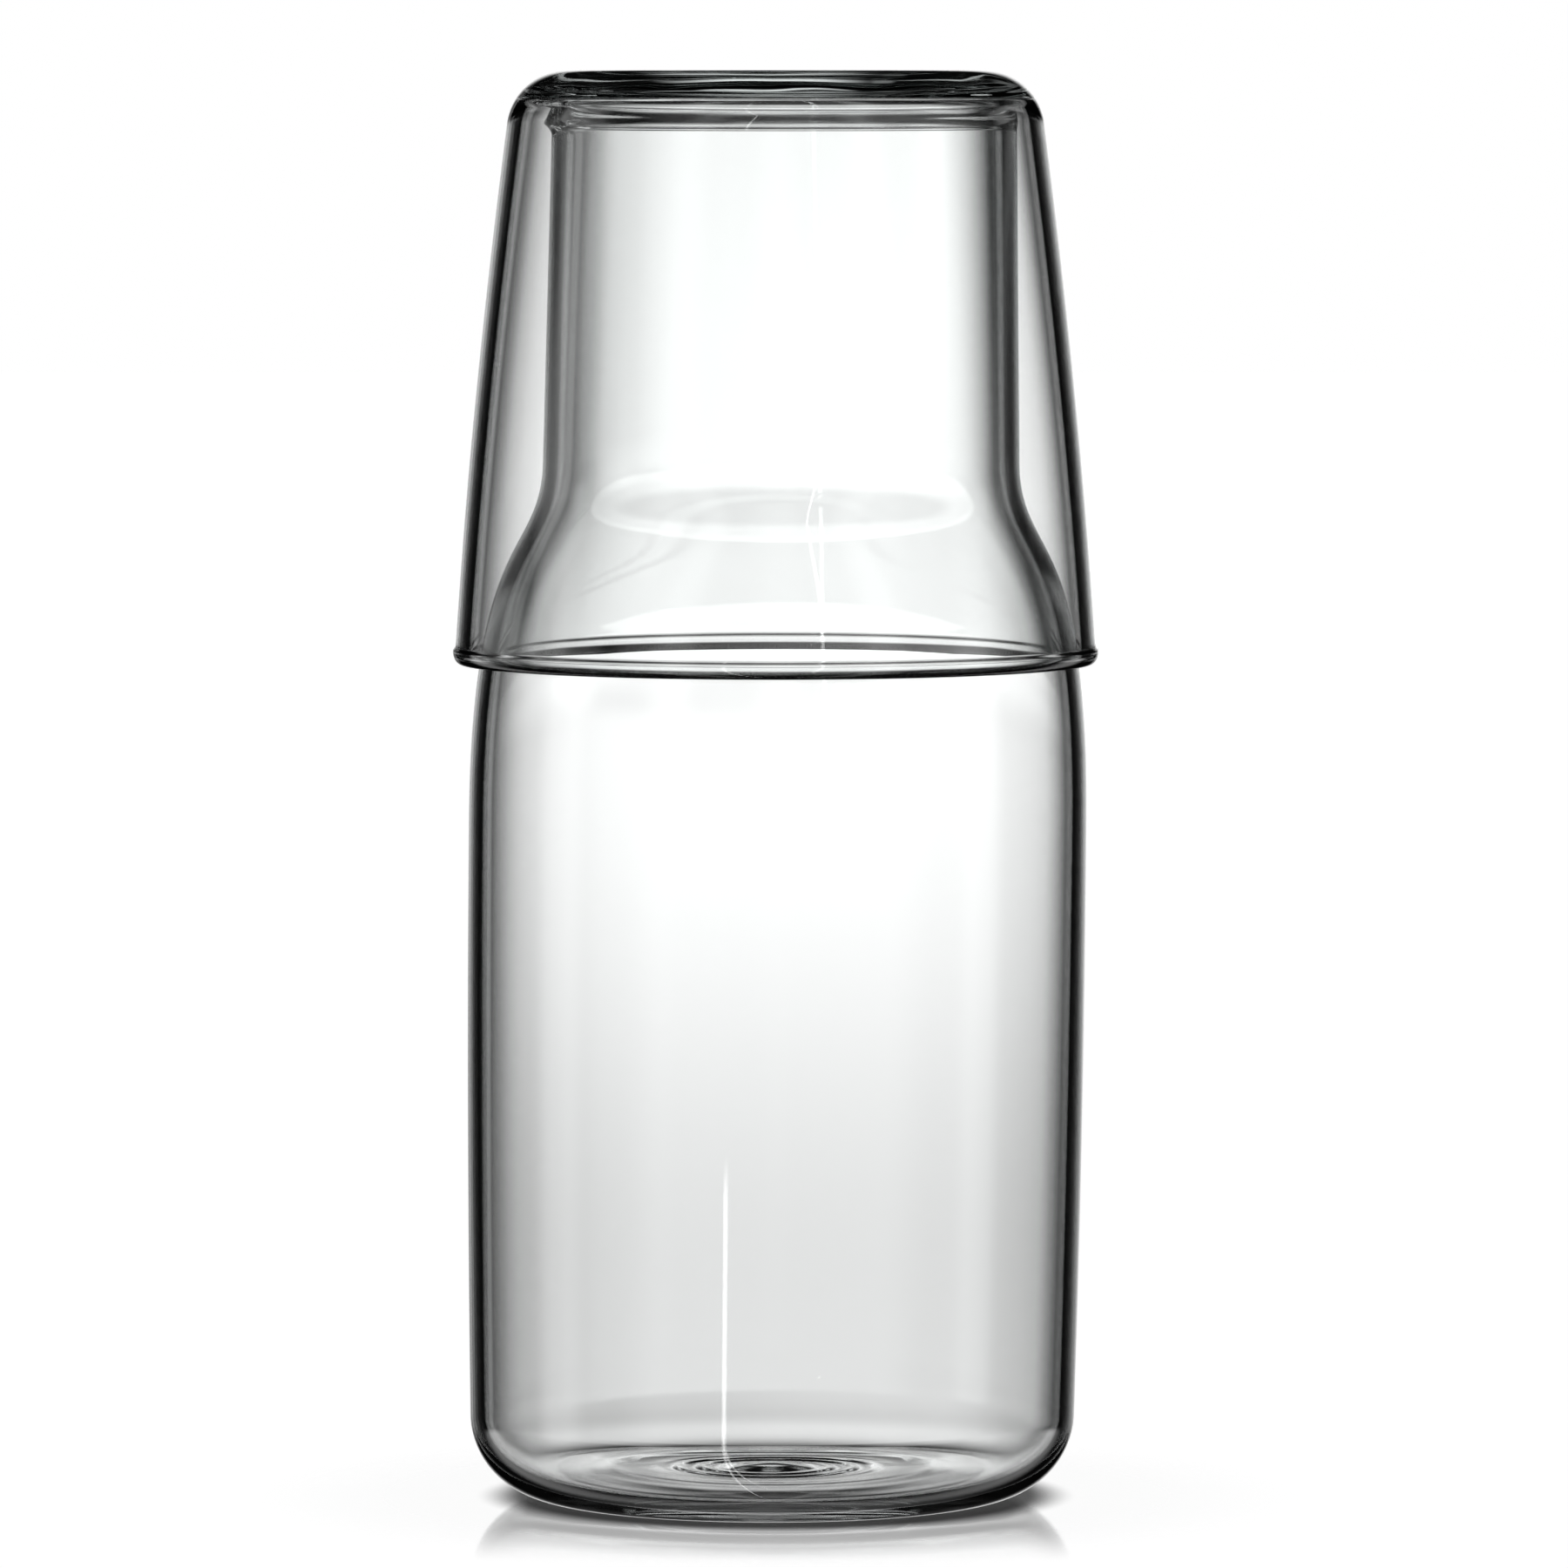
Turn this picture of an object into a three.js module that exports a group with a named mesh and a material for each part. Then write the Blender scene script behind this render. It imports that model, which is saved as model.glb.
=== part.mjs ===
// Bedside carafe with a tumbler turned upside down over its neck, both in clear blown glass.
// Millimetres, +Z up. The carafe stands on z = 0 and the tumbler's axis is the Z axis.
// Each piece is one glass wall, drawn as a half outline and turned round its own axis.

import * as THREE from 'three';

// Carafe body, from the foot up
const BODY_DIAMETER = 85.8;
const FOOT_DIAMETER = 84.0;
const BASE_CORNER_RADIUS = 11.8;
const CARAFE_WALL = 2.0;
const CARAFE_FLOOR = 2.6;
const FOOT_RING_WIDTH = 4.0;
const PUNT_RISE = 1.2;

// Carafe shoulder and neck: an S curve whose two ends run along the axis
const SHOULDER_START_HEIGHT = 94.2;
const SHOULDER_LOWER_EASE = 41.6;
const SHOULDER_UPPER_EASE = 14.0;
const NECK_ROOT_HEIGHT = 144.3;
const NECK_ROOT_DIAMETER = 66.0;
const NECK_TOP_DIAMETER = 64.3;
const CARAFE_HEIGHT = 193.95;

// Thickened lip round the carafe's mouth: an oval bead that swells outside and inside the neck. Its part
// lower than LIP_EASE_TURN degrees under its middle is drawn out into the neck instead
const LIP_HEIGHT = 3.3;
const LIP_OVERHANG = 0.75;
const LIP_INNER_SWELL = 0.53;
const LIP_EASE_TURN = 29;

// Small spout pressed into the lip at -X, which leans out over SPOUT_DEPTH and stands upright above that
const SPOUT_REACH = 2.1;
const SPOUT_DEPTH = 5.0;
const SPOUT_UPRIGHT = 2.2;
const SPOUT_WIDTH = 21.0;

// The hand-worked carafe leans a little towards +X: its axis against the tumbler's, at foot and rim
const FOOT_OFFSET = -0.6;
const RIM_OFFSET = 1.25;

// Tumbler, which stands upside down on the carafe's rim
const TUMBLER_HEIGHT = 82.1;
const TUMBLER_BASE = 3.7;
const TUMBLER_WALL_AT_BASE = 2.05;
const TUMBLER_WALL_AT_RIM = 1.95;
const TUMBLER_BASE_CORNER_RADIUS = 8.45;
const TUMBLER_INNER_CORNER_RADIUS = 2.2;
const TUMBLER_WALL_BOW = 0.67;

// Fire-polished rim of the tumbler: its swell outwards, and its height below and above the widest part
const BEAD_OVERHANG = 0.33;
const BEAD_DROP = 1.8;
const BEAD_RISE = 0.8;

// Clearances between the two pieces
const SEAT_GAP = 0.35;
const LIP_CLEARANCE = 0.48;
const RIM_CLEARANCE = 0.37;

// Fineness of the turned surfaces: facets round the axis, and how far a facet may cut inside a curve
const FACETS_ROUND = 56;
const CHORD_GAP = 0.04;

const lean = (RIM_OFFSET - FOOT_OFFSET) / CARAFE_HEIGHT;
const axisOffset = (height) => FOOT_OFFSET + lean * height;
const lipRadius = NECK_TOP_DIAMETER / 2 + LIP_OVERHANG;
const spoutRoot = CARAFE_HEIGHT - SPOUT_DEPTH;

// How far a curve turns in all, from one end to the other, in radians
function turnOf(curve) {
  const samples = 12;
  let turn = 0;
  for (let i = 0; i < samples; i += 1) {
    const here = curve.getTangent(i / samples);
    const next = curve.getTangent((i + 1) / samples);
    turn += Math.acos(THREE.MathUtils.clamp(here.dot(next), -1, 1));
  }
  return turn;
}

// Points along an outline: a chord of a curve that turns evenly keeps within CHORD_GAP of it
function pointsOf(path) {
  const points = [path.curves[0].getPoint(0)];
  for (const curve of path.curves) {
    const chords = Math.sqrt(turnOf(curve) * curve.getLength() / (8 * CHORD_GAP));
    const steps = Math.max(1, Math.ceil(chords));
    for (let i = 1; i <= steps; i += 1) {
      points.push(curve.getPoint(i / steps));
    }
  }
  return points;
}

// The inner face of a wall: each point of an upward outline moved square to it, towards the axis
function insetBy(wall, points) {
  return points.map((point, i) => {
    const before = points[Math.max(i - 1, 0)];
    const after = points[Math.min(i + 1, points.length - 1)];
    const along = after.clone().sub(before).normalize();
    return new THREE.Vector2(point.x - along.y * wall, point.y + along.x * wall);
  });
}

function radiusAt(points, height) {
  const i = points.findIndex((point, n) => n > 0 && point.y >= height);
  const [low, high] = [points[i - 1], points[i]];
  return THREE.MathUtils.mapLinear(height, low.y, high.y, low.x, high.x);
}

// Turns a half outline, given as radius and height, round the Z axis
function turned(points) {
  return new THREE.LatheGeometry(points, FACETS_ROUND).rotateX(Math.PI / 2);
}

// Outer face of the carafe's side, from the top of the base corner to the underside of the lip
function carafeSide(lipJoinHeight) {
  const bodyRadius = BODY_DIAMETER / 2;
  const neckRadius = NECK_ROOT_DIAMETER / 2;
  const side = new THREE.Path();
  side.moveTo(FOOT_DIAMETER / 2, BASE_CORNER_RADIUS);
  side.quadraticCurveTo(
    bodyRadius, (BASE_CORNER_RADIUS + SHOULDER_START_HEIGHT) / 2,
    bodyRadius, SHOULDER_START_HEIGHT,
  );
  side.bezierCurveTo(
    bodyRadius, SHOULDER_START_HEIGHT + SHOULDER_LOWER_EASE,
    neckRadius, NECK_ROOT_HEIGHT - SHOULDER_UPPER_EASE,
    neckRadius, NECK_ROOT_HEIGHT,
  );
  const spoutRootRadius = THREE.MathUtils.mapLinear(
    spoutRoot, NECK_ROOT_HEIGHT, lipJoinHeight, neckRadius, NECK_TOP_DIAMETER / 2,
  );
  side.lineTo(spoutRootRadius, spoutRoot);
  side.lineTo(NECK_TOP_DIAMETER / 2, lipJoinHeight);
  return pointsOf(side);
}

// Bead of the lip, and how far its sides drop to meet the neck: they run straight on, then bend upright
const lipHalfWidth = (CARAFE_WALL + LIP_OVERHANG + LIP_INNER_SWELL) / 2;
const lipCentreRadius = lipRadius - lipHalfWidth;
const lipCentreHeight = CARAFE_HEIGHT - LIP_HEIGHT / 2;
const lipEase = THREE.MathUtils.degToRad(LIP_EASE_TURN);
const lipEaseHeight = lipCentreHeight - Math.sin(lipEase) * LIP_HEIGHT / 2;
const lipSlope = LIP_HEIGHT / 2 / lipHalfWidth / Math.tan(lipEase);
const lipEaseDrop = (swell) => (swell - lipHalfWidth * (1 - Math.cos(lipEase))) * lipSlope;
const lipOuterDrop = lipEaseDrop(LIP_OVERHANG);
const lipInnerDrop = lipEaseDrop(LIP_INNER_SWELL);
const carafeOutside = carafeSide(lipEaseHeight - 2 * lipOuterDrop);

function carafeGeometry() {
  const footRadius = FOOT_DIAMETER / 2;
  const ringOuter = footRadius - BASE_CORNER_RADIUS;
  const ringInner = ringOuter - FOOT_RING_WIDTH;
  const foot = new THREE.Path();
  foot.moveTo(0, PUNT_RISE);
  foot.quadraticCurveTo(ringInner / 2, PUNT_RISE, ringInner, 0);
  foot.lineTo(ringOuter, 0);
  foot.absarc(ringOuter, BASE_CORNER_RADIUS, BASE_CORNER_RADIUS, -Math.PI / 2, 0);

  const lip = new THREE.Path();
  const lipArc = (from, to) => {
    lip.absellipse(lipCentreRadius, lipCentreHeight, lipHalfWidth, LIP_HEIGHT / 2, from, to);
  };
  const neckOuter = NECK_TOP_DIAMETER / 2;
  const neckInner = neckOuter - CARAFE_WALL;
  const beadEdge = lipHalfWidth * Math.cos(lipEase);
  lip.moveTo(neckOuter, lipEaseHeight - 2 * lipOuterDrop);
  lip.quadraticCurveTo(neckOuter, lipEaseHeight - lipOuterDrop, lipCentreRadius + beadEdge, lipEaseHeight);
  lipArc(-lipEase, Math.PI / 2);
  lipArc(Math.PI / 2, Math.PI + lipEase);
  lip.quadraticCurveTo(
    neckInner, lipEaseHeight - lipInnerDrop,
    neckInner, lipEaseHeight - 2 * lipInnerDrop,
  );

  const innerCorner = BASE_CORNER_RADIUS - CARAFE_FLOOR;
  const innerFoot = footRadius - CARAFE_WALL;
  const floor = new THREE.Path();
  floor.absarc(innerFoot - innerCorner, BASE_CORNER_RADIUS, innerCorner, 0, -Math.PI / 2, true);
  floor.lineTo(0, CARAFE_FLOOR);

  const inside = insetBy(CARAFE_WALL, carafeOutside).slice(1, -1).reverse();
  return turned([
    ...pointsOf(foot),
    ...carafeOutside.slice(1, -1),
    ...pointsOf(lip),
    ...inside,
    ...pointsOf(floor),
  ]);
}

// Presses the spout: both faces of the wall near the rim move outwards round -X
function pressSpout(geometry) {
  const halfAngle = Math.asin(SPOUT_WIDTH / 2 / lipRadius);
  const position = geometry.getAttribute('position');
  const point = new THREE.Vector3();
  for (let i = 0; i < position.count; i += 1) {
    point.fromBufferAttribute(position, i);
    const angle = Math.abs(Math.atan2(point.y, -point.x));
    const across = 1 - THREE.MathUtils.smoothstep(angle, 0, halfAngle);
    const up = THREE.MathUtils.smoothstep(point.z, spoutRoot, CARAFE_HEIGHT - SPOUT_UPRIGHT);
    const radius = Math.hypot(point.x, point.y);
    if (across * up > 0) {
      const share = 1 + SPOUT_REACH * across * up / radius;
      position.setXYZ(i, point.x * share, point.y * share, point.z);
    }
  }
  return geometry;
}

function tumblerGeometry() {
  const seatHeight = CARAFE_HEIGHT + SEAT_GAP;
  const topHeight = seatHeight + TUMBLER_BASE;
  const rimHeight = topHeight - TUMBLER_HEIGHT;

  // Inner face: clear of lip and spout at the seat, and of the leaning shoulder at the rim
  const lipReach = Math.max(lipRadius + RIM_OFFSET, lipRadius + SPOUT_REACH - RIM_OFFSET);
  const seatRadius = lipReach + LIP_CLEARANCE;
  const shoulderReach = radiusAt(carafeOutside, rimHeight) + Math.abs(axisOffset(rimHeight));
  const rimRadius = shoulderReach + RIM_CLEARANCE;
  const middle = new THREE.Vector2(
    (seatRadius + rimRadius) / 2 + 2 * TUMBLER_WALL_BOW, (seatHeight + rimHeight) / 2,
  );
  const flare = (middle.x - seatRadius) / (seatHeight - middle.y);
  const tilt = Math.atan(flare);

  // Centres of the rounded corners, which meet the flaring wall at its own tilt
  const cornerCentre = (faceRadius, faceHeight, corner) => {
    const meetHeight = faceHeight - corner * (1 - Math.sin(tilt));
    const meetRadius = faceRadius + flare * (seatHeight - meetHeight);
    return new THREE.Vector2(meetRadius - corner * Math.cos(tilt), faceHeight - corner);
  };
  const innerCorner = cornerCentre(seatRadius, seatHeight, TUMBLER_INNER_CORNER_RADIUS);
  const outerRadius = seatRadius + TUMBLER_WALL_AT_BASE;
  const outerCorner = cornerCentre(outerRadius, topHeight, TUMBLER_BASE_CORNER_RADIUS);

  // Rim: flush with the inner face, swelling outwards, and eased into the plain wall above it
  const beadHalfWidth = (TUMBLER_WALL_AT_RIM + BEAD_OVERHANG) / 2;
  const bead = new THREE.Vector2(rimRadius + beadHalfWidth, rimHeight + BEAD_DROP);
  const plainWall = new THREE.Vector2(rimRadius + TUMBLER_WALL_AT_RIM, bead.y + BEAD_RISE);

  const outline = new THREE.Path();
  outline.moveTo(0, seatHeight);
  outline.lineTo(innerCorner.x, seatHeight);
  outline.absarc(innerCorner.x, innerCorner.y, TUMBLER_INNER_CORNER_RADIUS, Math.PI / 2, tilt, true);
  outline.quadraticCurveTo(middle.x, middle.y, rimRadius, bead.y);
  outline.absellipse(bead.x, bead.y, beadHalfWidth, BEAD_DROP, Math.PI, 1.5 * Math.PI);
  outline.absellipse(bead.x, bead.y, beadHalfWidth, BEAD_DROP, 1.5 * Math.PI, 2 * Math.PI);
  outline.bezierCurveTo(
    bead.x + beadHalfWidth, bead.y + BEAD_RISE / 2,
    plainWall.x, plainWall.y - BEAD_RISE / 2,
    plainWall.x, plainWall.y,
  );
  outline.quadraticCurveTo(
    middle.x + (TUMBLER_WALL_AT_BASE + TUMBLER_WALL_AT_RIM) / 2, middle.y,
    outerCorner.x + TUMBLER_BASE_CORNER_RADIUS * Math.cos(tilt),
    outerCorner.y + TUMBLER_BASE_CORNER_RADIUS * Math.sin(tilt),
  );
  outline.absarc(outerCorner.x, outerCorner.y, TUMBLER_BASE_CORNER_RADIUS, tilt, Math.PI / 2);
  outline.lineTo(0, topHeight);
  return turned(pointsOf(outline));
}

function clearGlass(colour) {
  return new THREE.MeshStandardMaterial({
    color: colour, roughness: 0.04, metalness: 0, transparent: true, opacity: 0.35,
  });
}

const carafe = new THREE.Mesh(pressSpout(carafeGeometry()), clearGlass(0xeef2f1));
carafe.name = 'carafe';
carafe.geometry.applyMatrix4(new THREE.Matrix4().makeShear(0, 0, 0, 0, lean, 0));
carafe.position.x = FOOT_OFFSET;

const tumbler = new THREE.Mesh(tumblerGeometry(), clearGlass(0xf1f4f4));
tumbler.name = 'tumbler';

const group = new THREE.Group();
group.add(carafe, tumbler);

export default group;
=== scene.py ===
"""Bedside carafe with a tumbler upside down over its neck, both in clear blown glass.

Each piece is one glass wall: a half outline is spun round the piece's axis, then hand-worked
details are pressed into it. Metres, +Z up, with the carafe standing on z = 0.
"""

import math

import bmesh
import bpy
from bpy.props import FloatProperty, FloatVectorProperty, IntProperty, PointerProperty
from mathutils import Matrix, Vector, noise
from mathutils.geometry import interpolate_bezier


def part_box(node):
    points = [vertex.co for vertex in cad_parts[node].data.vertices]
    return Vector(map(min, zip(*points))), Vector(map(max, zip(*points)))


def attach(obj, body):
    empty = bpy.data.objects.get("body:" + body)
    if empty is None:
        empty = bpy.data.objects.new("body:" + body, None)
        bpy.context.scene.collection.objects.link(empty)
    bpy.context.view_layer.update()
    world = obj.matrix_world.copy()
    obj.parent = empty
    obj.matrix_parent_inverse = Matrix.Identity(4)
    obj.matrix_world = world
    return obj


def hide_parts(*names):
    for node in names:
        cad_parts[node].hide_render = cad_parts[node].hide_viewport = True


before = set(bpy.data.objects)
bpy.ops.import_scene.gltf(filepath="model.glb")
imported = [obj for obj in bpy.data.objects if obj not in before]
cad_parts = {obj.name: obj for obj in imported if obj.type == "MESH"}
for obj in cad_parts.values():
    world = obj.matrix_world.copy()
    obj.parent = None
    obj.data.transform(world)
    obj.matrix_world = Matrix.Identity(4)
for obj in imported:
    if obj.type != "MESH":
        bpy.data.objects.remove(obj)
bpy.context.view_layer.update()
CARAFE_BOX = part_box("carafe")
TUMBLER_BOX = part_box("tumbler")
TUMBLER_WIDTH = TUMBLER_BOX[1][0] - TUMBLER_BOX[0][0]

bl_info = {
    "name": "Glass carafe with tumbler",
    "version": (1, 0, 0),
    "blender": (4, 5, 0),
    "location": "View3D > Sidebar > Carafe",
    "description": "Dresses a bedside carafe and its tumbler in clear blown glass",
    "category": "Object",
}

SENSOR_WIDTH = 36.0
SAME_HEIGHT = 1e-6
SAME_POINT = 1e-7
GLASS_BOUNCES = 32
MIRROR_BOUNCES = 12


def length(name, description, default):
    """A size in metres."""
    return FloatProperty(
        name=name, description=description, default=default, unit="LENGTH", precision=5,
    )


def share(name, description, default):
    """A plain number."""
    return FloatProperty(name=name, description=description, default=default, precision=4)


def colour(name, description, default):
    """A linear colour."""
    return FloatVectorProperty(
        name=name, description=description, default=default, subtype="COLOR",
    )


class CarafeSizes(bpy.types.PropertyGroup):
    """Sizes of the carafe, as on its half outline."""

    height: length("Height", "From the table to the top of the lip", CARAFE_BOX[1][2])
    body_diameter: length("Body diameter", "Outside, just below the shoulder", 0.0858)
    foot_diameter: length("Foot diameter", "Outside, at the top of the base corner", 0.084)
    base_corner: length("Base corner", "Radius of the rounded base corner", 0.0118)
    wall: length("Wall", "Thickness of the side", 0.002)
    floor: length("Floor", "Height of the inner floor above the table", 0.0026)
    foot_ring: length("Foot ring", "Width of the flat ring that it stands on", 0.004)
    punt_rise: length("Punt rise", "How far the underside rises in the middle", 0.0012)
    shoulder_start: length("Shoulder start", "Height where the body turns in", 0.0942)
    shoulder_lower_ease: length("Lower ease", "Lower handle of the S curve", 0.0416)
    shoulder_upper_ease: length("Upper ease", "Upper handle of the S curve", 0.014)
    neck_root: length("Neck root", "Height where the neck begins", 0.1443)
    neck_root_diameter: length("Neck root diameter", "Outside, at the neck root", 0.066)
    neck_top_diameter: length("Neck top diameter", "Outside, under the lip", 0.0643)
    lip_height: length("Lip height", "Height of the fire-polished lip", 0.0033)
    lip_overhang: length("Lip overhang", "How far the lip swells outside the neck", 0.00075)
    lip_inner_swell: length("Lip inner swell", "How far the lip swells inside it", 0.00053)
    lip_ease_turn: FloatProperty(
        name="Lip ease turn",
        description="Turn under the lip's middle where it starts to ease into the neck",
        default=math.radians(29),
        subtype="ANGLE",
    )
    spout_reach: length("Spout reach", "How far the spout is pressed out", 0.0021)
    spout_depth: length("Spout depth", "Height of the pressed stretch", 0.005)
    spout_upright: length("Spout upright", "Height of its upright part below the rim", 0.0022)
    spout_width: length("Spout width", "Width of the pressed stretch", 0.021)
    foot_offset: length("Foot offset", "Axis at the foot, along X", -0.0006)
    rim_offset: length("Rim offset", "Axis at the rim, along X", 0.00125)
    knob_radius: length("Knob radius", "Radius of the turned knob in the floor", 0.0068)
    knob_rise: length("Knob rise", "Height of the turned knob", 0.0008)
    ripple_rise: length("Ripple rise", "Height of the spiral round the knob", 0.00012)
    ripple_pitch: length("Ripple pitch", "From one turn of the spiral to the next", 0.0034)
    ripple_start: length("Ripple start", "Radius where the spiral starts", 0.006)
    ripple_full: length("Ripple full", "Radius where it has its full height", 0.009)
    ripple_fade: length("Ripple fade", "Radius where it starts to fade", 0.012)
    ripple_end: length("Ripple end", "Radius where it ends", 0.018)
    ring_rise: length("Ring rise", "Height of the wide ring in the floor", 0.0004)
    ring_radius: length("Ring radius", "Radius of the wide ring", 0.022)
    ring_spread: length("Ring spread", "How far the wide ring spreads to each side", 0.0035)


class TumblerSizes(bpy.types.PropertyGroup):
    """Sizes of the tumbler, as it stands upside down over the neck."""

    top: length("Top", "Height of its base above the table", TUMBLER_BOX[1][2])
    rim: length("Rim", "Height of its rim above the table", TUMBLER_BOX[0][2])
    rim_diameter: length("Rim diameter", "Outside of the bead", TUMBLER_WIDTH)
    base: length("Base", "Thickness of the base", 0.0037)
    wall_at_base: length("Wall at base", "Thickness of the side beside the base", 0.00205)
    wall_at_rim: length("Wall at rim", "Thickness of the side above the rim", 0.00195)
    seat_radius: length("Seat radius", "Inside, where the wall meets the base", 0.03463)
    outer_corner: length("Outer corner", "Radius of the outer base corner", 0.00845)
    inner_corner: length("Inner corner", "Radius of the inner base corner", 0.0022)
    bow: length("Bow", "How far the wall bows out at mid height", 0.00067)
    bead_overhang: length("Bead overhang", "How far the rim stands out from the wall", 0.00033)
    bead_drop: length("Bead drop", "From the widest part of the rim to its edge", 0.0018)
    bead_rise: length("Bead rise", "From the widest part up to the plain wall", 0.0008)
    wave_rise: length("Wave rise", "How far the base's faces sink and swell", 0.00015)
    broad_waves: share("Broad waves", "How closely the base's waves lie, per metre", 60.0)
    fine_waves: share("Fine waves", "How closely its finer waves lie, per metre", 120.0)
    fine_wave_share: share("Fine wave share", "Height of the finer waves to the others", 0.3)


class GlassLook(bpy.types.PropertyGroup):
    """Finish of both glasses."""

    segments: IntProperty(name="Segments", description="Steps round each piece", default=192)
    tint: colour("Tint", "Colour of the clear glass", (0.985, 0.99, 0.988))
    depth_tint: colour("Depth tint", "Colour that thick glass takes", (0.80, 0.825, 0.82))
    depth: share("Depth", "How strongly thick glass is tinted, per metre", 30.0)
    bend: share("Index of refraction", "How strongly the glass bends light", 1.5)
    waviness: share("Waviness", "Strength of the drawn waves", 0.05)
    wave_height: length("Wave height", "Height of the drawn waves", 0.0005)
    waves_across: share("Waves across", "How closely they lie round the glass, per metre", 60.0)
    waves_up: share("Waves up", "How closely they lie up the glass, per metre", 9.0)


class StageLook(bpy.types.PropertyGroup):
    """Table, light tent and camera."""

    camera_distance: length("Camera distance", "From the object's axis", 1.61)
    camera_height: length("Camera height", "Above the table", 0.198)
    camera_side: length("Camera side", "Along X", 0.00115)
    aim_height: length("Aim height", "Height on the axis at the picture's middle", 0.09916)
    frame_height: length("Frame height", "What the picture spans at the object", 0.21747)
    table_reach: length("Table reach", "Half the width of the table", 6.0)
    table_bend: share("Table gloss", "Index of refraction of the table's gloss", 1.6)
    mirror_gain: share("Mirror gain", "How much stronger than plain gloss it mirrors", 1.2)
    mirror_full: length("Mirror full", "Radius round the foot that mirrors in full", 0.045)
    mirror_end: length("Mirror end", "Radius where the mirror has faded", 0.085)
    # Shade, Shade full and Shade end set a painted shadow: a dark ring painted on the table under
    # the foot.
    shade: share("Shade", "How much of the table's white the foot covers", 0.9)
    shade_full: length("Shade full", "Radius under the foot that is in full shade", 0.035)
    shade_end: length("Shade end", "Radius where the shade has faded", 0.042)
    backdrop_light: share("Backdrop", "Brightness behind the object's neck", 1.18)
    edge_light: share("Backdrop edge", "Brightness of a line at the backdrop's left", 0.22)
    side_light: share("Side", "Brightness of the panel on the left", 1.0)
    screen_light: share("Screen", "Brightness between that panel and the backdrop", 0.2)
    front_light: share("Front", "Brightness of the front on the right", 1.8)
    front_fall: share("Front fall", "How much less the front has on the left", 0.9)
    strip_light: share("Strip", "Brightness of the thin strip low in front", 6.0)
    panel_light: share("Panels", "Brightness of the panels below", 0.83)
    panel_fall: share("Panel fall", "What every second panel loses further down", 0.94)
    gap_light: share("Gaps", "Brightness of the dark gaps", 0.003)


class Socket:
    """One output of a shader node, for use in Python sums: each sum adds a Math node."""

    def __init__(self, tree, output):
        self.tree = tree
        self.output = output

    def of(self, name):
        """Another output of the same node."""
        return Socket(self.tree, self.output.node.outputs[name])

    def math(self, operation, first, second=0.0):
        """A Math node with one or two values."""
        inputs = {0: first, 1: second}
        return add_node(self.tree, "ShaderNodeMath", {"operation": operation}, inputs)

    def __add__(self, other):
        return self.math("ADD", self, other)

    __radd__ = __add__

    def __sub__(self, other):
        return self.math("SUBTRACT", self, other)

    def __rsub__(self, other):
        return self.math("SUBTRACT", other, self)

    def __mul__(self, other):
        return self.math("MULTIPLY", self, other)

    __rmul__ = __mul__

    def __abs__(self):
        return self.math("ABSOLUTE", self)

    def ramp(self, low, high):
        """A smooth step from 0 at low to 1 at high."""
        settings = {"interpolation_type": "SMOOTHSTEP"}
        inputs = {"Value": self, "From Min": low, "From Max": high}
        return add_node(self.tree, "ShaderNodeMapRange", settings, inputs)


def add_node(tree, kind, settings=None, inputs=None):
    """Adds one node, sets it, fills or links its sockets and returns its first output."""
    node = tree.nodes.new(kind)
    for name, value in (settings or {}).items():
        setattr(node, name, value)
    for name, value in (inputs or {}).items():
        if isinstance(value, Socket):
            tree.links.new(value.output, node.inputs[name])
        else:
            node.inputs[name].default_value = value
    return Socket(tree, node.outputs[0]) if node.outputs else None


def grey(level):
    """A grey, or white at 1."""
    return (level, level, level, 1.0)


class Outline:
    """Half section of a turned piece: points of radius and height, in order along the wall."""

    def __init__(self, radius, height):
        self.points = [Vector((radius, 0.0, height))]

    def line(self, radius, height, steps=1):
        """A straight stretch to a point."""
        start = self.points[-1]
        end = Vector((radius, 0.0, height))
        self.points += [start.lerp(end, i / steps) for i in range(1, steps + 1)]

    def arc(self, centre, radii, first, last, steps):
        """A part of an ellipse, from its first turn to its last."""
        for i in range(1, steps + 1):
            turn = first + (last - first) * i / steps
            radius = centre[0] + radii[0] * math.cos(turn)
            height = centre[1] + radii[1] * math.sin(turn)
            self.points.append(Vector((radius, 0.0, height)))

    def curve(self, first_handle, last_handle, end, steps):
        """A curve to a point, drawn by two handles."""
        corners = (first_handle, last_handle, end)
        handles = [Vector((radius, 0.0, height)) for radius, height in corners]
        self.points += interpolate_bezier(self.points[-1], *handles, steps + 1)[1:]

    def bow(self, corner, end, steps):
        """A curve drawn by one corner point, as a bent spline is."""
        start = self.points[-1]
        pull = 2 / 3
        first = (start.x + (corner[0] - start.x) * pull, start.z + (corner[1] - start.z) * pull)
        last = (end[0] + (corner[0] - end[0]) * pull, end[1] + (corner[1] - end[1]) * pull)
        self.curve(first, last, end, steps)


def inset(points, wall):
    """The inner face of an upward outline: each point moved square to it, towards the axis."""
    inner = []
    for i, point in enumerate(points):
        along = points[min(i + 1, len(points) - 1)] - points[max(i - 1, 0)]
        along.normalize()
        inner.append(Vector((point.x - along.z * wall, 0.0, point.z + along.x * wall)))
    return inner


def spin_outline(points, segments):
    """Spins a half outline that starts and ends on the Z axis into a closed glass body."""
    body = bmesh.new()
    ring = [body.verts.new(point) for point in points]
    edges = [body.edges.new(pair) for pair in zip(ring, ring[1:])]
    bmesh.ops.spin(
        body, geom=ring + edges, cent=(0, 0, 0), axis=(0, 0, 1),
        angle=math.tau, steps=segments, use_merge=True,
    )
    bmesh.ops.remove_doubles(body, verts=body.verts, dist=SAME_POINT)
    bmesh.ops.recalc_face_normals(body, faces=body.faces)
    return body


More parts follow.
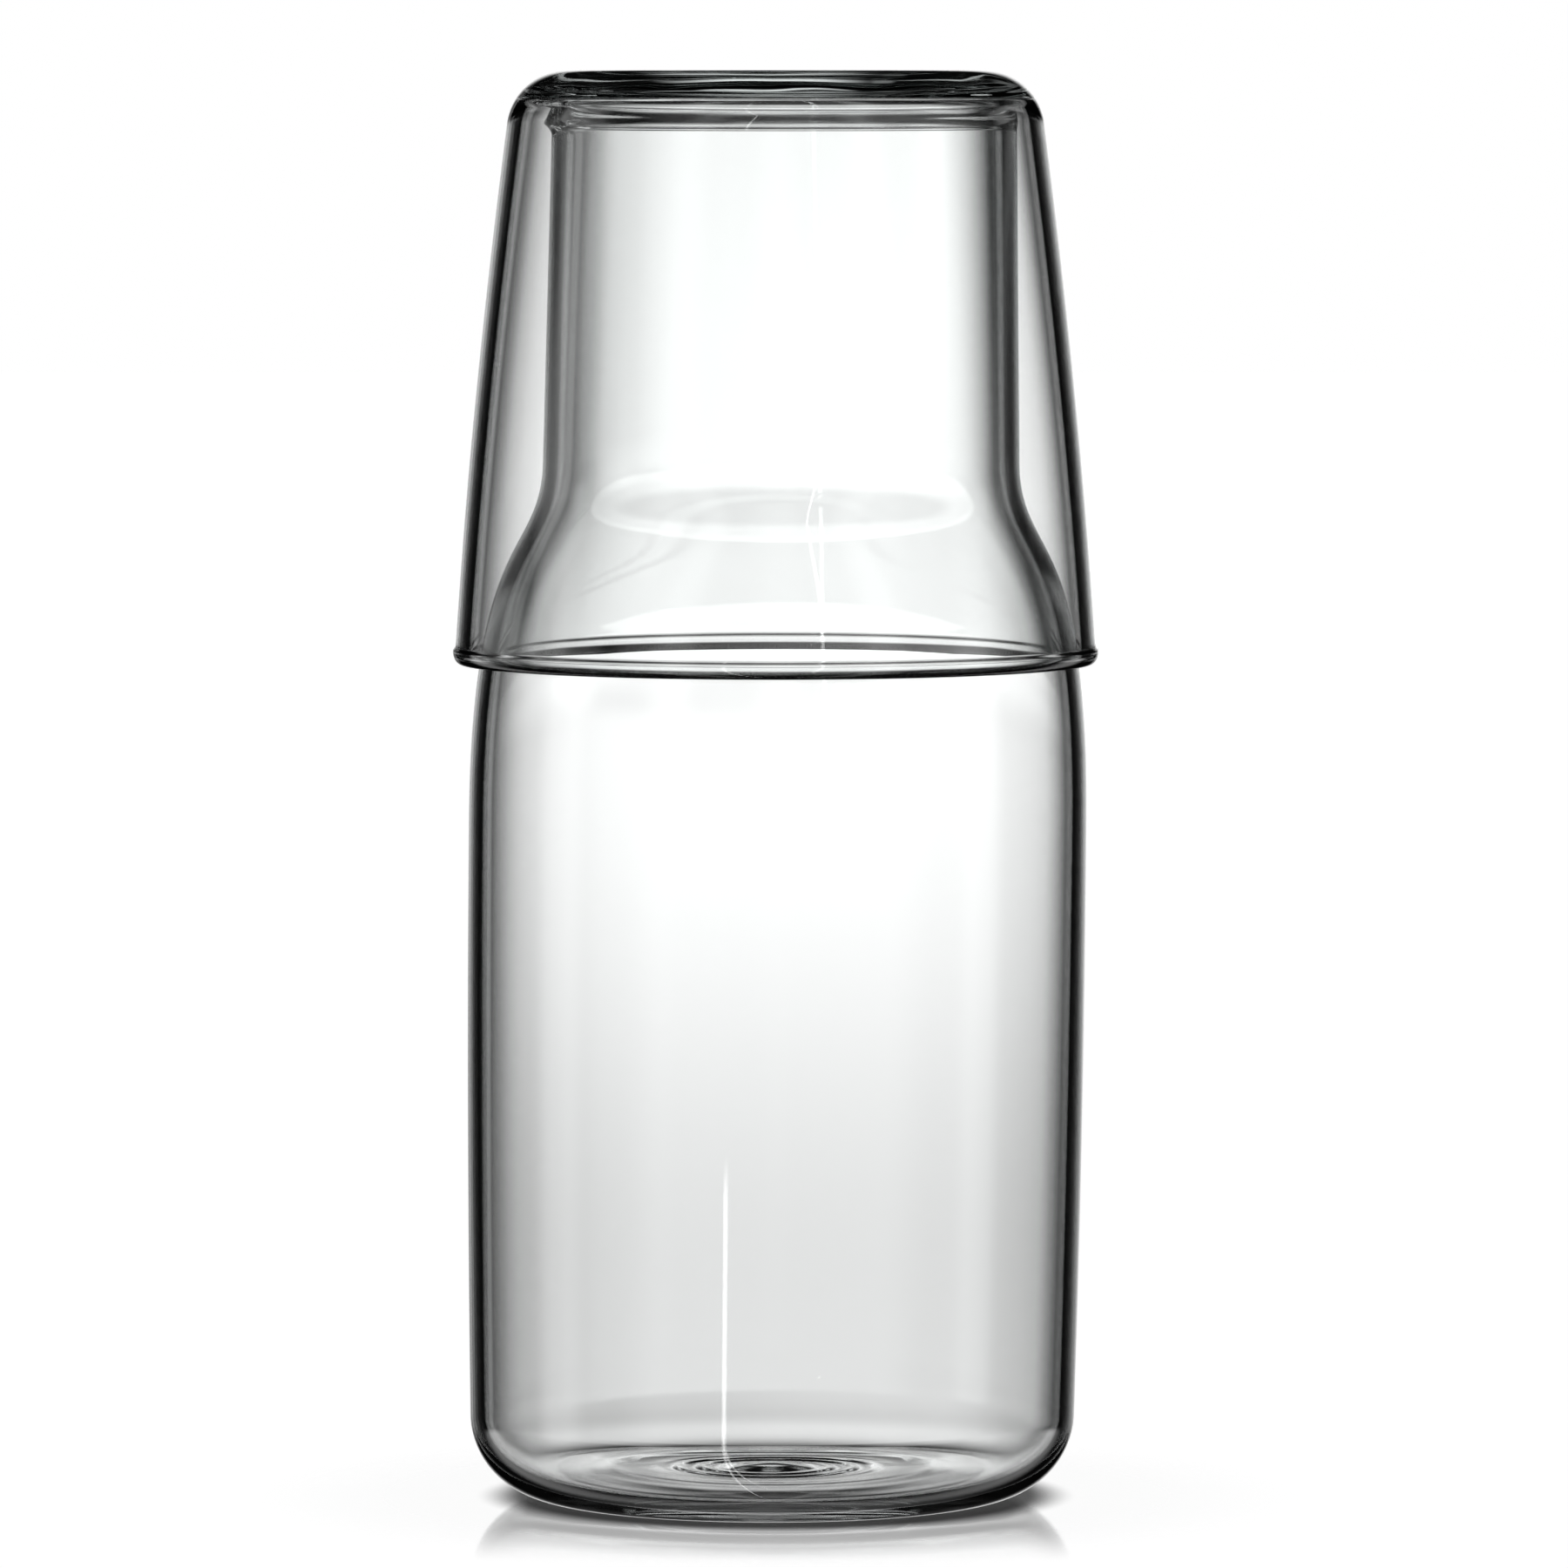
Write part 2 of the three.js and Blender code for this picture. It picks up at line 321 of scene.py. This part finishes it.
def finish_piece(body, name, material):
    """Makes a smooth shaded object of a bmesh."""
    for face in body.faces:
        face.smooth = True
    mesh = bpy.data.meshes.new(name)
    body.to_mesh(mesh)
    body.free()
    mesh.materials.append(material)
    piece = bpy.data.objects.new(name, mesh)
    bpy.context.scene.collection.objects.link(piece)
    return piece


def smooth_step(value, low, high):
    """A smooth step from 0 at low to 1 at high."""
    part = min(max((value - low) / (high - low), 0.0), 1.0)
    return part * part * (3 - 2 * part)


def clear_glass(name, look):
    """Clear blown glass with faint drawn waves and a slight tint in its depth."""
    material = bpy.data.materials.new(name)
    material.use_nodes = True
    tree = material.node_tree
    tree.nodes.clear()
    place = add_node(tree, "ShaderNodeTexCoord").of("Object")
    drawn = add_node(tree, "ShaderNodeMapping", {}, {
        "Vector": place,
        "Scale": (look.waves_across, look.waves_across, look.waves_up),
    })
    waves = add_node(tree, "ShaderNodeTexNoise", {}, {"Vector": drawn, "Scale": 1.0, "Detail": 1.0})
    bump = add_node(tree, "ShaderNodeBump", {}, {
        "Height": waves,
        "Strength": look.waviness,
        "Distance": look.wave_height,
    })
    surface = add_node(tree, "ShaderNodeBsdfPrincipled", {}, {
        "Base Color": (*look.tint, 1.0),
        "Roughness": 0.0,
        "IOR": look.bend,
        "Transmission Weight": 1.0,
        "Normal": bump,
    })
    depth = add_node(tree, "ShaderNodeVolumeAbsorption", {}, {
        "Color": (*look.depth_tint, 1.0),
        "Density": look.depth,
    })
    add_node(tree, "ShaderNodeOutputMaterial", {}, {"Surface": surface, "Volume": depth})
    return material


def press_spout(body, sizes, lip_radius):
    """Moves both faces of the wall near the rim outwards round -X."""
    half_turn = math.asin(sizes.spout_width / 2 / lip_radius)
    spout_root = sizes.height - sizes.spout_depth
    upright_root = sizes.height - sizes.spout_upright
    for vertex in body.verts:
        turn = abs(math.atan2(vertex.co.y, -vertex.co.x))
        across = 1 - smooth_step(turn, 0.0, half_turn)
        up = smooth_step(vertex.co.z, spout_root, upright_root)
        if across * up > 0:
            outward = Vector((vertex.co.x, vertex.co.y, 0.0)).normalized()
            vertex.co += outward * sizes.spout_reach * across * up


def floor_rise(place, sizes):
    """Height of the turning marks at a place in the floor: a knob, a spiral and a wide ring."""
    radius = math.hypot(place.x, place.y)
    turn = math.atan2(place.y, place.x)
    knob = sizes.knob_rise * (1 - smooth_step(radius, 0.0, sizes.knob_radius))
    ripple = sizes.ripple_rise * math.sin(math.tau * radius / sizes.ripple_pitch + turn)
    ripple *= smooth_step(radius, sizes.ripple_start, sizes.ripple_full)
    ripple *= 1 - smooth_step(radius, sizes.ripple_fade, sizes.ripple_end)
    ring = sizes.ring_rise * math.exp(-((radius - sizes.ring_radius) / sizes.ring_spread) ** 2)
    return knob + ripple + ring


def turn_floor(body, sizes):
    """Lifts the inner floor's points into the turning marks."""
    for vertex in body.verts:
        if abs(vertex.co.z - sizes.floor) < SAME_HEIGHT:
            vertex.co.z += floor_rise(vertex.co, sizes)


def carafe_outline(sizes):
    """The carafe's wall, from the middle of its underside round to the middle of its floor."""
    body_radius = sizes.body_diameter / 2
    foot_radius = sizes.foot_diameter / 2
    neck_radius = sizes.neck_root_diameter / 2
    top_radius = sizes.neck_top_diameter / 2
    ring_outer = foot_radius - sizes.base_corner
    ring_inner = ring_outer - sizes.foot_ring

    lip_half_width = (sizes.wall + sizes.lip_overhang + sizes.lip_inner_swell) / 2
    lip_centre = (
        top_radius + sizes.lip_overhang - lip_half_width,
        sizes.height - sizes.lip_height / 2,
    )
    lip_radii = (lip_half_width, sizes.lip_height / 2)
    ease = sizes.lip_ease_turn
    ease_height = lip_centre[1] - lip_radii[1] * math.sin(ease)
    ease_reach = lip_half_width * math.cos(ease)
    slope = lip_radii[1] / lip_half_width / math.tan(ease)
    outer_drop = (ease_reach - lip_half_width + sizes.lip_overhang) * slope
    inner_drop = (ease_reach - lip_half_width + sizes.lip_inner_swell) * slope

    side = Outline(foot_radius, sizes.base_corner)
    middle = (sizes.base_corner + sizes.shoulder_start) / 2
    side.bow((body_radius, middle), (body_radius, sizes.shoulder_start), steps=24)
    side.curve(
        (body_radius, sizes.shoulder_start + sizes.shoulder_lower_ease),
        (neck_radius, sizes.neck_root - sizes.shoulder_upper_ease),
        (neck_radius, sizes.neck_root),
        steps=64,
    )
    spout_root = sizes.height - sizes.spout_depth
    join_height = ease_height - 2 * outer_drop
    taper = (top_radius - neck_radius) / (join_height - sizes.neck_root)
    side.line(neck_radius + taper * (spout_root - sizes.neck_root), spout_root, steps=16)
    side.line(top_radius, join_height, steps=10)

    wall = Outline(0.0, sizes.punt_rise)
    wall.bow((ring_inner / 2, sizes.punt_rise), (ring_inner, 0.0), steps=24)
    wall.line(ring_outer, 0.0, steps=2)
    outer_radii = (sizes.base_corner, sizes.base_corner)
    wall.arc((ring_outer, sizes.base_corner), outer_radii, -math.pi / 2, 0.0, steps=32)
    wall.points += side.points[1:]
    wall.bow(
        (top_radius, ease_height - outer_drop),
        (lip_centre[0] + ease_reach, ease_height),
        steps=12,
    )
    wall.arc(lip_centre, lip_radii, -ease, math.pi + ease, steps=48)
    inner_radius = top_radius - sizes.wall
    wall.bow(
        (inner_radius, ease_height - inner_drop),
        (inner_radius, ease_height - 2 * inner_drop),
        steps=12,
    )
    wall.points += reversed(inset(side.points, sizes.wall)[1:-1])

    inner_corner = sizes.base_corner - sizes.floor
    inner_edge = foot_radius - sizes.wall - inner_corner
    inner_radii = (inner_corner, inner_corner)
    wall.line(inner_edge + inner_corner, sizes.base_corner)
    wall.arc((inner_edge, sizes.base_corner), inner_radii, 0.0, -math.pi / 2, steps=28)
    wall.line(0.0, sizes.floor, steps=110)
    return wall.points


def wave_base(body, sizes):
    """Lets the flat faces of the base sink and swell, as in glass that set by itself."""
    seat = sizes.top - sizes.base
    for vertex in body.verts:
        broad = noise.noise(vertex.co * sizes.broad_waves)
        fine = noise.noise(vertex.co * sizes.fine_waves)
        swell = broad + sizes.fine_wave_share * fine
        if abs(vertex.co.z - sizes.top) < SAME_HEIGHT:
            vertex.co.z -= sizes.wave_rise * max(swell, 0.0)
        elif abs(vertex.co.z - seat) < SAME_HEIGHT:
            vertex.co.z += sizes.wave_rise * swell


def tumbler_outline(sizes):
    """The tumbler's wall, from its seat's middle down round the rim to its top's middle."""
    seat = sizes.top - sizes.base
    rim_radius = sizes.rim_diameter / 2 - sizes.bead_overhang - sizes.wall_at_rim
    middle = ((sizes.seat_radius + rim_radius) / 2 + 2 * sizes.bow, (seat + sizes.rim) / 2)
    flare = (middle[0] - sizes.seat_radius) / (seat - middle[1])
    tilt = math.atan(flare)

    def corner_centre(face_radius, face_height, corner):
        meet_height = face_height - corner * (1 - math.sin(tilt))
        meet_radius = face_radius + flare * (seat - meet_height)
        return (meet_radius - corner * math.cos(tilt), face_height - corner)

    inner = corner_centre(sizes.seat_radius, seat, sizes.inner_corner)
    inner_radii = (sizes.inner_corner, sizes.inner_corner)
    outer = corner_centre(sizes.seat_radius + sizes.wall_at_base, sizes.top, sizes.outer_corner)
    outer_radii = (sizes.outer_corner, sizes.outer_corner)
    bead_width = (sizes.wall_at_rim + sizes.bead_overhang) / 2
    bead_centre = (rim_radius + bead_width, sizes.rim + sizes.bead_drop)

    wall = Outline(0.0, seat)
    wall.line(inner[0], seat, steps=60)
    wall.arc(inner, inner_radii, math.pi / 2, tilt, steps=14)
    wall.bow(middle, (rim_radius, bead_centre[1]), steps=60)
    wall.arc(bead_centre, (bead_width, sizes.bead_drop), math.pi, math.tau, steps=32)
    plain = (rim_radius + sizes.wall_at_rim, bead_centre[1] + sizes.bead_rise)
    ease = sizes.bead_rise / 2
    wall.curve(
        (rim_radius + 2 * bead_width, bead_centre[1] + ease),
        (plain[0], plain[1] - ease),
        plain,
        steps=16,
    )
    outer_meet = (
        outer[0] + sizes.outer_corner * math.cos(tilt),
        outer[1] + sizes.outer_corner * math.sin(tilt),
    )
    middle_wall = (sizes.wall_at_base + sizes.wall_at_rim) / 2
    wall.bow((middle[0] + middle_wall, middle[1]), outer_meet, steps=60)
    wall.arc(outer, outer_radii, tilt, math.pi / 2, steps=28)
    wall.line(0.0, sizes.top, steps=60)
    return wall.points


class OBJECT_OT_make_carafe(bpy.types.Operator):
    """Blows the carafe: body, shoulder, neck, lip and spout in one wall"""

    bl_idname = "object.make_carafe"
    bl_label = "Make carafe"

    def execute(self, context):
        sizes = context.scene.carafe_sizes
        look = context.scene.glass_look
        body = spin_outline(carafe_outline(sizes), look.segments)
        press_spout(body, sizes, sizes.neck_top_diameter / 2 + sizes.lip_overhang)
        turn_floor(body, sizes)
        lean = Matrix.Translation((sizes.foot_offset, 0.0, 0.0))
        lean[0][2] = (sizes.rim_offset - sizes.foot_offset) / sizes.height
        bmesh.ops.transform(body, matrix=lean, verts=body.verts)
        carafe = finish_piece(body, "carafe_blown", clear_glass("carafe_clear_glass", look))
        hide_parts("carafe")
        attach(carafe, "carafe")
        return {"FINISHED"}


class OBJECT_OT_make_tumbler(bpy.types.Operator):
    """Blows the tumbler: thick base, flaring wall and beaded rim in one wall"""

    bl_idname = "object.make_tumbler"
    bl_label = "Make tumbler"

    def execute(self, context):
        sizes = context.scene.tumbler_sizes
        look = context.scene.glass_look
        body = spin_outline(tumbler_outline(sizes), look.segments)
        wave_base(body, sizes)
        tumbler = finish_piece(body, "tumbler_blown", clear_glass("tumbler_clear_glass", look))
        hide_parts("tumbler")
        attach(tumbler, "tumbler")
        return {"FINISHED"}


def window(turn, opening, closing):
    """1 between two soft edges, each given in degrees by where it begins and ends."""
    opened = turn.ramp(math.radians(opening[0]), math.radians(opening[1]))
    closed = turn.ramp(math.radians(closing[0]), math.radians(closing[1]))
    return opened * (1.0 - closed)


def stripe(turn, middle, full, end):
    """1 up to a distance in degrees from a middle, and 0 from another on."""
    away = abs(turn - math.radians(middle))
    return 1.0 - away.ramp(math.radians(full), math.radians(end))


def backdrop(turn, below, look):
    """Light behind the object: brightest behind the shoulder, and less towards the table."""
    behind_shoulder = 0.22 * below.ramp(0.035, 0.0365) - 0.08 * below.ramp(0.039, 0.0415)
    behind_body = 0.22 * below.ramp(0.045, 0.053) + 0.4 * below.ramp(0.056, 0.105)
    behind_foot = 0.12 * below.ramp(0.12, 0.18)
    brightness = look.backdrop_light + behind_shoulder - behind_body - behind_foot
    return window(turn, (-15, -2.5), (6, 17)) * brightness


def front(facing, up, look):
    """Light from the camera's side, stronger and wider on the right."""
    fall = look.front_fall * facing.ramp(math.radians(-35), math.radians(35))
    reach = window(facing, (-106, -67), (42, 67)) * (1.0 - up.ramp(0.15, 0.3))
    return (look.front_light - fall) * reach


def panels_below(turn, below, look):
    """Eight panels under the horizon, of which every second one ends further down."""
    eighth = math.radians(45)
    inputs = {0: turn, 1: eighth / 2, 2: -eighth / 2}
    within = add_node(turn.tree, "ShaderNodeMath", {"operation": "WRAP"}, inputs)
    panel = window(within, (-13.5, -1.5), (3, 13))
    second = turn.math("COSINE", turn * 4.0).ramp(-0.2, 0.2)
    ended = look.panel_fall * second * below.ramp(0.21, 0.37)
    return look.panel_light * panel * (1.0 - ended)


def light_tent(context, look):
    """White to the camera. Glass sees a backdrop, a left side, a front and panels below,
    with dark gaps between them and a dark roof.
    """
    world = bpy.data.worlds.new("light_tent")
    context.scene.world = world
    world.use_nodes = True
    tree = world.node_tree
    tree.nodes.clear()
    direction = add_node(tree, "ShaderNodeTexCoord").of("Generated")
    across = add_node(tree, "ShaderNodeSeparateXYZ", {}, {"Vector": direction})
    along = across.of("Y")
    up = across.of("Z")
    below = 0.0 - up
    turn = across.math("ARCTAN2", across, along)
    facing = across.math("ARCTAN2", 0.0 - across, 0.0 - along)

    edge = look.edge_light * stripe(turn, -15.5, 1.0, 2.6)
    side = look.side_light * stripe(turn, -90, 4, 15)
    screen = look.screen_light * window(turn, (-80, -70), (-45, -38))
    roof = 1.0 - up.ramp(0.12, 0.26)
    level = (backdrop(turn, below, look) + edge + side + screen) * roof
    level = level + front(facing, up, look)
    steep = below.ramp(0.15, 0.2)
    tent = level * (1.0 - steep) + panels_below(turn, below, look) * steep
    strip = look.strip_light * stripe(turn, -161.5, 0.4, 0.7) * below.ramp(0.112, 0.122)
    tent = tent + strip + look.gap_light

    camera = add_node(tree, "ShaderNodeLightPath").of("Is Camera Ray")
    strength = camera + (1.0 - camera) * tent
    light = add_node(tree, "ShaderNodeBackground", {}, {"Color": grey(1.0), "Strength": strength})
    add_node(tree, "ShaderNodeOutputWorld", {}, {"Surface": light})


def glossy_table(look):
    """Glossy white table top: mirrors the glass near its foot, has a shadow painted under the
    foot as a dark ring, and is clear to light out of glass.
    """
    material = bpy.data.materials.new("glossy_white_table")
    material.use_nodes = True
    tree = material.node_tree
    tree.nodes.clear()

    def mix(share_of_second, first, second):
        inputs = {"Fac": share_of_second, 1: first, 2: second}
        return add_node(tree, "ShaderNodeMixShader", {}, inputs)

    place = add_node(tree, "ShaderNodeTexCoord").of("Object")
    reach = add_node(tree, "ShaderNodeVectorMath", {"operation": "LENGTH"}, {0: place}).of("Value")
    glow = add_node(tree, "ShaderNodeEmission", {}, {"Color": grey(1.0), "Strength": 1.0})
    matte = add_node(tree, "ShaderNodeBsdfDiffuse", {}, {"Color": grey(0.3)})
    white = add_node(tree, "ShaderNodeAddShader", {}, {0: glow, 1: matte})
    mirror = add_node(tree, "ShaderNodeBsdfGlossy", {}, {"Roughness": 0.05})
    gloss = add_node(tree, "ShaderNodeFresnel", {}, {"IOR": look.table_bend})
    near = 1.0 - reach.ramp(look.mirror_full, look.mirror_end)
    table = mix(near * gloss * look.mirror_gain, white, mirror)
    # Painted shadow: a near-black diffuse mixed into the table in a ring under the foot, in place
    # of its contact shadow.
    painted_shadow = add_node(tree, "ShaderNodeBsdfDiffuse", {}, {"Color": grey(0.04)})
    painted_shadow_share = look.shade * (1.0 - reach.ramp(look.shade_full, look.shade_end))
    table = mix(painted_shadow_share, table, painted_shadow)
    light = add_node(tree, "ShaderNodeLightPath")
    through = light.of("Is Transmission Ray")
    mirrored = light.of("Is Glossy Ray")
    clear = add_node(tree, "ShaderNodeBsdfTransparent")
    surface = mix(light.math("MAXIMUM", through, mirrored), table, clear)
    add_node(tree, "ShaderNodeOutputMaterial", {}, {"Surface": surface})
    return material


def aim_camera(context, look):
    """Stands the camera at the photograph's place."""
    lens = bpy.data.cameras.new("camera")
    lens.sensor_width = SENSOR_WIDTH
    drop = look.camera_height - look.aim_height
    lens.lens = SENSOR_WIDTH * math.hypot(look.camera_distance, drop) / look.frame_height
    camera = bpy.data.objects.new("camera", lens)
    camera.location = (look.camera_side, -look.camera_distance, look.camera_height)
    camera.rotation_euler = (math.pi / 2 - math.atan2(drop, look.camera_distance), 0.0, 0.0)
    context.scene.collection.objects.link(camera)
    context.scene.camera = camera


class SCENE_OT_make_carafe_stage(bpy.types.Operator):
    """Lays the table, lights the tent and stands the camera"""

    bl_idname = "scene.make_carafe_stage"
    bl_label = "Make stage"

    def execute(self, context):
        scene = context.scene
        look = scene.stage_look
        aim_camera(context, look)
        light_tent(context, look)
        plate = bmesh.new()
        bmesh.ops.create_grid(plate, x_segments=1, y_segments=1, size=look.table_reach)
        table = finish_piece(plate, "table_top", glossy_table(look))
        scene.view_settings.view_transform = "Standard"
        scene.cycles.max_bounces = GLASS_BOUNCES
        scene.cycles.transmission_bounces = GLASS_BOUNCES
        scene.cycles.glossy_bounces = MIRROR_BOUNCES
        return {"FINISHED"}


class VIEW3D_PT_carafe(bpy.types.Panel):
    """Sidebar panel with the steps that make the carafe and its tumbler"""

    bl_idname = "VIEW3D_PT_carafe"
    bl_label = "Glass carafe with tumbler"
    bl_space_type = "VIEW_3D"
    bl_region_type = "UI"
    bl_category = "Carafe"

    def draw(self, context):
        for step in STEPS:
            self.layout.operator(step.bl_idname)


STEPS = (SCENE_OT_make_carafe_stage, OBJECT_OT_make_carafe, OBJECT_OT_make_tumbler)
GROUPS = {
    "carafe_sizes": CarafeSizes,
    "tumbler_sizes": TumblerSizes,
    "glass_look": GlassLook,
    "stage_look": StageLook,
}


def register():
    for kind in (*GROUPS.values(), *STEPS, VIEW3D_PT_carafe):
        bpy.utils.register_class(kind)
    for name, group in GROUPS.items():
        setattr(bpy.types.Scene, name, PointerProperty(type=group))


def unregister():
    for name in GROUPS:
        delattr(bpy.types.Scene, name)
    for kind in (VIEW3D_PT_carafe, *STEPS, *GROUPS.values()):
        bpy.utils.unregister_class(kind)


def main():
    register()
    bpy.ops.scene.make_carafe_stage()
    bpy.ops.object.make_carafe()
    bpy.ops.object.make_tumbler()


if __name__ == "__main__":
    main()
